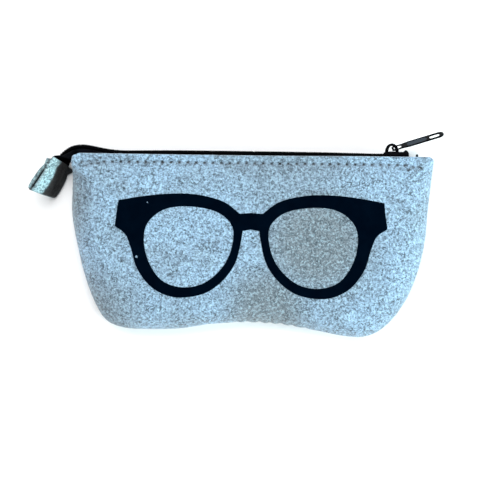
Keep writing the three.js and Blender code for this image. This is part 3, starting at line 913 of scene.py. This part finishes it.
# The zip's line: it starts sunk between the panels, crowns a little along the mouth and humps into its tail.
CROWNED = [
    (TAPE_END, TAPE_Y - 1.7), (80, TAPE_Y - 1.4), (74, TAPE_Y - 0.1), (62, TAPE_Y), (38, TAPE_Y + 0.35),
    (0, TAPE_Y + 0.5), (-42, TAPE_Y + 0.5), (-56, TAPE_Y + 0.3), (-70, TAPE_Y + 0.3),
]
TAIL = [
    (-76, 46.15), (-81, 47.1), (-86, 48), (-90, 48.1), (-93.4, 47.2), (-96, 45.5), (-97.8, 43.6),
    tuple(TAB_MOUTH),
]


def zip_line():
    """Places along the zip, with direction, length, how flat it lies, and how far its rows are parted."""
    outside = catmull_rom(CROWNED + TAIL)
    inside_tab = TAB_MOUTH + np.outer(np.linspace(0.5, TAPE_IN_TAB, 20), TAB_ALONG)
    line = evenly(np.vstack([outside, inside_tab]), 0.25)
    length = lengths_along(line)
    at_tab = length[-1] - TAPE_IN_TAB
    flat = smooth(length, at_tab - 6.5, at_tab)
    parted = PARTED * smooth(line[:, 0], SLIDER_X - 0.5, SLIDER_X + 5)
    return line, directions(line), length, flat, parted


ZIP = zip_line()


def zip_at(length):
    """Place, direction, flatness and parting at one length along the zip."""
    line, along, lengths, flat, parted = ZIP
    x, y, along_x, along_y, flatness, parting = (
        np.interp(length, lengths, values) for values in (*line.T, *along.T, flat, parted)
    )
    return np.array([x, y]), np.array([along_x, along_y]), flatness, parting


def tab_lean(across, share):
    """How far the tab's upper edge leans away from the pouch, more towards its fold, where share is 1."""
    return -(1.1 + 1.3 * share) * smooth(across, 0, TAB_WIDTH / 2)


def zip_point(place, along, flat, inset, rise):
    """A point of the zip's cross section. Towards the tab it takes up the tab's twist and lean."""
    inset += flat * tab_lean(rise, 0.2)
    across, height = turned(inset, rise, TAB_TWIST * flat)
    inwards = np.array([-along[1], along[0]])
    x, y = place + inwards * across
    return x, y, SEAM_Z + height


# One tape's cross section from the middle outwards, as inset and rise. It turns down inside the felt.
FOLDED = [
    (0, 0.3), (0, 1.6), (0, 3.2), (0, 4.4), (0.35, 5.15), (0.9, 5.5), (2.2, 5.6), (3.9, 5.62), (5.4, 5.63),
    (6.9, 5.65),
]
OPENED = [0.3, 1.6, 3.1, 4.5, 5, 5.6, 6.9, 8.3, 9.7, 11]  # the rise of the same points where it lies flat

# Where the front tape and row are cut, as lengths along the zip, which is all but straight over the mouth.
ZIP_LENGTH = ZIP[2][-1]
MIDDLE_CUT = TAPE_END
TAIL_CUT = TAPE_END - (LEFT_HELD_X - 2)
FRONT_STRETCHES = {"left": (MIDDLE_CUT, TAIL_CUT), "right": (0, MIDDLE_CUT), "tail": (TAIL_CUT, ZIP_LENGTH)}


def tape(name, side, start, end):
    """A stretch of one zip tape, as a closed sheet of even thickness."""
    rows = []
    for length in np.linspace(start, end, max(8, round((end - start) / 1.2))):
        place, along, flat, parted = zip_at(length)
        narrow = 1 - 0.32 * smooth(-place[0], 86, 93)  # it is folded less deep where it leaves the mouth
        row = []
        for k, ((inset, rise), opened) in enumerate(zip(FOLDED, OPENED)):
            shift = parted * (1 - k / (len(FOLDED) - 1)) ** 3
            slack = 0.12 * math.sin(length / 2.3 + k) * (k > 4)
            inset = mix(inset * narrow, 0, flat)
            row.append(zip_point(place, along, flat, inset, side * mix(rise + shift + slack, opened, flat)))
        rows.append(row)
    middle = np.array(rows)
    rings = []
    for centre, up in zip(middle, grid_normals(middle)):
        over = centre + up * TAPE_THICK / 2
        under = centre - up * TAPE_THICK / 2
        rings.append(np.vstack([over, under[::-1]]))
    points, faces = loft(rings)
    piece = mesh_piece(name, points, faces, tape_weave, 60)
    return piece


def coil(name, side, start, end):
    """A stretch of one row of the coil: a nylon wire wound round a cord, between the other row's turns."""
    half_high = COIL_HIGH / 2 - WIRE
    half_wide = (COIL_FAR - COIL_NEAR) / 2 - WIRE
    depth = -COIL_HIGH / 2
    middle = (COIL_NEAR + COIL_FAR) / 2
    stagger = side * 0.25  # in turns, so that the two rows' turns lie between each other
    per_turn = 12
    under_stop = 1.5  # turns
    first = math.ceil(start / COIL_PITCH) if start else under_stop
    last = min(end, ZIP_LENGTH - TAPE_IN_TAB - 0.3) / COIL_PITCH
    wire = []
    for step in range(int((last - first) * per_turn)):
        turn = first + step / per_turn
        place, along, flat, parted = zip_at((turn + stagger) * COIL_PITCH)
        angle = 2 * math.pi * turn
        inset = depth + half_high * math.cos(angle)
        rise = side * (middle + parted + half_wide * math.sin(angle))
        wire.append(zip_point(place, along, flat, inset, rise))
    cord = []
    for length in np.arange(start, min(end, last * COIL_PITCH), 1.0):
        place, along, flat, parted = zip_at(length)
        cord.append(zip_point(place, along, flat, depth, side * (middle + parted)))
    points, faces = gathered([tube(wire, WIRE, sides=5), tube(cord, CORE, sides=8)])
    return mesh_piece(name, points, faces, coil_nylon, ROUND_THREAD)


def add_zip():
    """Both tapes and both rows. The front ones are cut at the mouth's middle and where the tail starts."""
    for make, node in ((tape, "tape"), (coil, "coil")):
        front = {k: make(f"{node}_front_{k}", 1, *ends) for k, ends in FRONT_STRETCHES.items()}
        back = make(f"{node}_back_whole", -1, 0, ZIP_LENGTH)
        opens_with_front(front["left"], front["right"])
        for piece in (front["tail"], back):
            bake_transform(piece)
        for piece in front.values():
            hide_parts(f"{node}_front")
        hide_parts(f"{node}_back")


add_zip()


# ---------------------------------------------------------------- the slider and its pull

def rounded_node(name, finish, radius_mm):
    """A CAD node kept as it is, with its edges rounded and its own finish."""
    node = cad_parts[name]
    weld = node.modifiers.new("weld", "WELD")
    weld.merge_threshold = 0.005 * MM
    bevel = node.modifiers.new("bevel", "BEVEL")
    bevel.width = radius_mm * MM
    bevel.segments = 3
    bevel.limit_method = "ANGLE"
    bevel.angle_limit = math.radians(28)
    bevel.harden_normals = True
    node.data.shade_smooth()
    node.material_slots[0].material = finish


rounded_node("slider_body", slider_enamel, 0.3)
rounded_node("slider_crown", slider_enamel, 0.28)
rounded_node("lock_spring", steel, 0.05)


def top_stop(node):
    """A clip crimped round the end of one row of the coil, with a waist where the tool closed it."""
    low, high = box_mm(node)
    low[1] -= 1.2  # the row of the coil sinks between the panels here
    middle, half = (low + high) / 2, (high - low) / 2
    turns = np.arange(16) * 2 * math.pi / 16
    circle = np.stack([np.cos(turns), np.sin(turns)], axis=1)
    rounded_square = np.sign(circle) * abs(circle) ** 0.55
    rings = []
    for share, scale in ((-1, 0.72), (-0.93, 0.95), (-0.3, 1), (0, 0.86), (0.3, 1), (0.93, 0.95), (1, 0.72)):
        rings.append([middle + half * (scale * x, share, scale * z) for x, z in rounded_square])
    points, faces = loft(rings)
    piece = mesh_piece(f"{node}_staple", points, faces, slider_enamel)
    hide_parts(node)
    return piece


bends_with_front(top_stop("top_stop_front"))
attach(top_stop("top_stop_back"), "pouch")

PULL_LENGTH = 27.4
PULL_THICK = 0.7
PULL_LIFT = math.radians(17.5)
PULL_ROLL = math.radians(28)
PULL_HOLES = (0.45, 4.7, 1.6), (19.7, 25.2, 1.5)  # from and to along the pull, and half the width
PULL_RECESS = (7.6, 18.4, 2.1)


def offset_loop(loop, distance):
    """A closed flat loop, anticlockwise, moved inwards by a distance."""
    along = np.roll(loop, -1, axis=0) - np.roll(loop, 1, axis=0)
    along /= np.linalg.norm(along, axis=1)[:, None]
    return loop + distance * np.stack([-along[:, 1], along[:, 0]], axis=1)


def pull_outline():
    """The pull's edge: a narrow eye that hangs on the crown, widening to the plate, and a rounded tip."""
    half_bar, eye, plate, tip = 0.45, 2.3, 2.9, 2.6
    lower = [(-half_bar, -eye + 0.5), (-half_bar + 0.5, -eye), (2, -eye), (4.6, -eye), (6.6, -2.6)]
    lower += [(x, -plate) for x in (8.6, 12, 16, 20)]
    turns = np.linspace(-math.pi / 2, 0, 8)
    corner = [(PULL_LENGTH - tip + tip * math.cos(a), tip - plate + tip * math.sin(a)) for a in turns]
    lower += corner
    upper = [(x, -y) for x, y in reversed(lower)]
    return evenly(lower + upper, 0.4, closed=True)


def slot_loop(start, end, half):
    """A long hole with a round far end and a blunter near one."""
    turns = np.linspace(-math.pi / 2, math.pi / 2, 9)
    right = [(end - half + half * math.cos(a), half * math.sin(a)) for a in turns]
    left = [(start + half * 0.5 - half * 0.5 * math.cos(a), -half * math.sin(a)) for a in turns]
    return evenly(right + left, 0.4, closed=True)


def pull_plate():
    """Points and faces of a cast plate with rounded edges and two holes, and a sunk face on each side."""
    outline = pull_outline()
    holes = [slot_loop(*hole) for hole in PULL_HOLES]
    recess = slot_loop(*PULL_RECESS)
    half = PULL_THICK / 2
    # Each profile runs in from its loop, as distance and height over the plate's middle.
    rim = [(0, 0), (0, 0.16), (0.07, 0.28), (0.2, half)]
    sunk = [(0, half), (0.1, half - 0.05), (0.16, half - 0.17)]
    rim_width, sunk_width, sunk_height = rim[-1][0], *sunk[-1]
    parts = []
    for face in (1, -1):
        for loop, inwards, profile in (
            (outline, 1, rim), (holes[0], -1, rim), (holes[1], -1, rim), (recess, 1, sunk),
        ):
            rings = [[(x, y, face * z) for x, y in offset_loop(loop, inwards * d)] for d, z in profile]
            parts.append(loft(rings, closed_ends=False))
        inside_rims = [offset_loop(outline, rim_width), *(offset_loop(h, -rim_width) for h in holes), recess]
        flat, triangles = filled(inside_rims, 0.5)
        parts.append(([(x, y, face * half) for x, y in flat], triangles))
        flat, triangles = filled([offset_loop(recess, sunk_width)], 0.5)
        parts.append(([(x, y, face * sunk_height) for x, y in flat], triangles))
    points, faces = gathered(parts)
    return np.array(points), faces


def in_pull(points):
    """From the pull's own frame (along it, across it, through it) to the model's, rolled and lifted."""
    along, across, through = points.T.copy()
    rolled, z = turned(through, -across, PULL_ROLL)
    x, y = turned(along, rolled, PULL_LIFT)
    return np.stack([x, y, z], axis=1) + PIVOT


def pull_tab():
    """The pull, with its sunk faces marked for a painted reflection: a greyer colour in their enamel."""
    local, faces = pull_plate()
    along, across, through = local.T
    start, end, half_width = PULL_RECESS
    within_recess = (along > start) & (along < end) & (abs(across) < half_width)
    sunk = within_recess & (abs(through) < PULL_THICK / 2 - 0.1)
    bm = bmesh.new()
    painted_reflection = bm.verts.layers.float.new("painted_reflection")
    made = [bm.verts.new(p * MM) for p in in_pull(local)]
    for vertex, value in zip(made, sunk):
        vertex[painted_reflection] = float(value)
    for face in faces:
        bm.faces.new([made[i] for i in face])
    bmesh.ops.remove_doubles(bm, verts=bm.verts, dist=0.01 * MM)
    mesh = bpy.data.meshes.new("pull_plate")
    bm.to_mesh(mesh)
    bm.free()
    piece = finished("pull_plate", mesh, pull_enamel)
    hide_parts("pull_tab")
    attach(piece, "pull")


pull_tab()


# ---------------------------------------------------------------- the folded felt tab on the tail

def in_tab(points):
    """From the tab's own frame (along it, through it, across its width) to the model's."""
    points = np.array(points, float)
    along, through, across = points[:, 0], points[:, 1], points[:, 2]
    sideways, height = turned(through, across, TAB_TWIST)
    right = np.array([-TAB_ALONG[1], TAB_ALONG[0]])
    flat = TAB_MOUTH + np.outer(along, TAB_ALONG) + np.outer(sideways, right)
    return np.column_stack([flat, SEAM_Z + height])


def tab_strip():
    """The strip's middle line, from one open end round the fold to the other, as (along, through)."""
    gap = 1.3  # from the tab's middle to the middle of each layer
    fold_at = TAB_LENGTH - gap - FELT / 2
    line = [(-0.3, gap - 0.1), (4, gap - 0.45), (9, gap + 0.15), (14, gap + 0.2), (fold_at, gap)]
    turns = np.linspace(math.pi / 2, -math.pi / 2, 9)[1:-1]
    fold = [(fold_at + gap * math.cos(a), gap * math.sin(a)) for a in turns]
    return evenly(line + fold + [(x, -t) for x, t in reversed(line)], 0.7)


def tab_middle(strip):
    """The folded strip's middle surface: pinched by its stitching, flared at one lip, and slightly askew."""
    half = TAB_WIDTH / 2
    rows = []
    for along, through in strip:
        far = along / TAB_LENGTH
        squeeze = 0.35 * bell(along - TAB_ROW_AT, 1.5) * math.copysign(1, through)
        row = []
        for w in np.linspace(-half, half, 34):
            flare = 1.3 * bell(along - 0.4, 1.6) * smooth(-w, 5, 12) * (through > 0)
            opening = 1.2 * smooth(-w, 2, half) + 1.9 * smooth(w, 0, half) * (through < 0)
            slipped = mix(opening, w / half - 0.2, far)
            row.append((along + slipped, through + tab_lean(w, far) + flare - squeeze, w))
        rows.append(row)
    return np.array(rows)


def tab_painted_shade(local):
    """How much shade is painted on the tab at each point: most on its side towards the pouch and between its
    layers, with its layer away from the pouch a little darker.
    """
    through = local[:, 1] - tab_lean(local[:, 2], local[:, 0] / TAB_LENGTH)
    facing_pouch = 0.98 * smooth(through, 0.2, 1.6) * smooth(-local[:, 2], -6, -4)
    in_fold = 0.9 * (1 - smooth(abs(through), 0.35, 0.75))
    outer_layer = 0.35 * smooth(-through, 0.2, 0.6)
    return np.max([facing_pouch, in_fold, outer_layer], axis=0)


def tail_tab():
    """The strip of felt folded over the tape's end, as a closed sheet with rounded cut edges."""
    strip = tab_strip()
    middle = tab_middle(strip)
    rings = []
    for centre, up in zip(middle, grid_normals(middle)):
        matted = np.array([0.12 * noise.noise(Vector(p / 1.4)) for p in centre])[:, None]
        over = centre + up * (FELT / 2 + matted)
        under = centre - up * (FELT / 2 + matted)
        low_edge = centre[0] + (0, 0, -0.3)
        high_edge = centre[-1] + (0, 0, 0.3)
        rings.append(np.vstack([over, [high_edge], under[::-1], [low_edge]]))
    local, faces = loft(rings)
    piece = mesh_piece("tab_felt", in_tab(local), faces, felt_tab, ROUND_FELT)
    shade_felt(piece, tab_painted_shade(np.array(local)))
    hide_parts("tail_tab")
    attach(piece, "tab")


tail_tab()


# ---------------------------------------------------------------- the sewing

STITCH_SHARES = np.linspace(0, 1, 9)  # the points of one stitch, from hole to hole
STITCH_ARCH = np.sin(np.pi * STITCH_SHARES) ** 0.5
STITCH_RADII = THREAD * (0.65 + 0.35 * STITCH_ARCH)  # pulled thin where it enters the felt


def stitch(start, end):
    """One stitch: a thread that rises out of one needle hole and drops into the next."""
    start, end = np.array(start, float), np.array(end, float)
    lift, sunk = 0.2, 0.55
    up = np.array([0, 0, 1.0 if start[2] > SEAM_Z else -1.0])
    path = [mix(start, end, s) + up * mix(-sunk, lift, a) for s, a in zip(STITCH_SHARES, STITCH_ARCH)]
    return tube(path, STITCH_RADII)


def thread_piece(name, parts, node):
    """All of one row's stitches as one piece."""
    points, faces = gathered(parts)
    piece = mesh_piece(name, points, faces, sewing_thread, ROUND_THREAD)
    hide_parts(node)
    return piece


def sewn(name, runs, node):
    """A row of stitches, each from one place to another."""
    return thread_piece(name, [stitch(a, b) for a, b in runs], node)


def mouth_runs(height):
    """The start and end of each stitch below the mouth, at the felt's height clear of the holes."""
    y = MOUTH_Y - STITCH_INSET
    in_hole, clear = 0.5, 0.9
    holes = stitch_holes()
    starts = [(a + in_hole, y, height(a + clear, y)) for a in holes[:-1]]
    ends = [(b - in_hole, y, height(b - clear, y)) for b in holes[1:]]
    return list(zip(starts, ends))


def add_sewing():
    """The rows below the mouth on both panels, and the bar tacks at the ends of the front one."""
    front_runs = mouth_runs(on_front)
    left = sewn("topstitch_front_left", [r for r in front_runs if r[1][0] < 0], "topstitch_front")
    right = sewn("topstitch_front_right", [r for r in front_runs if r[1][0] >= 0], "topstitch_front")
    opens_with_front(left, right)
    back = sewn("topstitch_back_row", mouth_runs(on_back), "topstitch_back")
    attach(back, "pouch")
    for name, sign, held_x in (("left", -1, LEFT_HELD_X), ("right", 1, RIGHT_HELD_X)):
        holes = [(x, MOUTH_Y - down) for x, down in BAR_HOLES if x * sign > 0]
        at = [(x, y, on_front(x, y)) for x, y in holes]
        tack = sewn(f"tack_{name}", list(zip(at, at[1:])), f"bar_tack_{name}")
        bends_with_front(tack)


def seam_thread():
    """The seam's stitches, a little way in from the edge, in the groove between the panels."""
    top, pitch, groove, radius = 32, 3.2, 1.5, 0.24
    edge = evenly([p for p in catmull_rom(OUTLINE) if p[1] < top], pitch)
    at = [np.array((x * (1 - groove / HALF_LENGTH), y * (1 - groove / MOUTH_Y), SEAM_Z)) for x, y in edge]
    shares = np.linspace(0.12, 0.88, 5)
    parts = [tube([mix(a, b, s) for s in shares], radius) for a, b in zip(at, at[1:])]
    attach(thread_piece("seam_ladder", parts, "seam_stitching"), "pouch")


def tab_row():
    """The row of stitches through the tab, on the side away from the pouch."""
    holes = np.linspace(-10.5, 10.5, 6)  # across the tab's width
    along, surface, lift, sunk = TAB_ROW_AT + 0.2, -2.55, 0.35, 0.6
    parts = []
    for a, b in zip(holes, holes[1:]):
        through = surface - lift * STITCH_ARCH + sunk * (1 - STITCH_ARCH)
        path = [(along, t, mix(a, b, s)) for s, t in zip(STITCH_SHARES, through)]
        parts.append(tube(in_tab(path), STITCH_RADII))
    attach(thread_piece("tab_row", parts, "tab_stitching"), "tab")


add_sewing()
seam_thread()
tab_row()
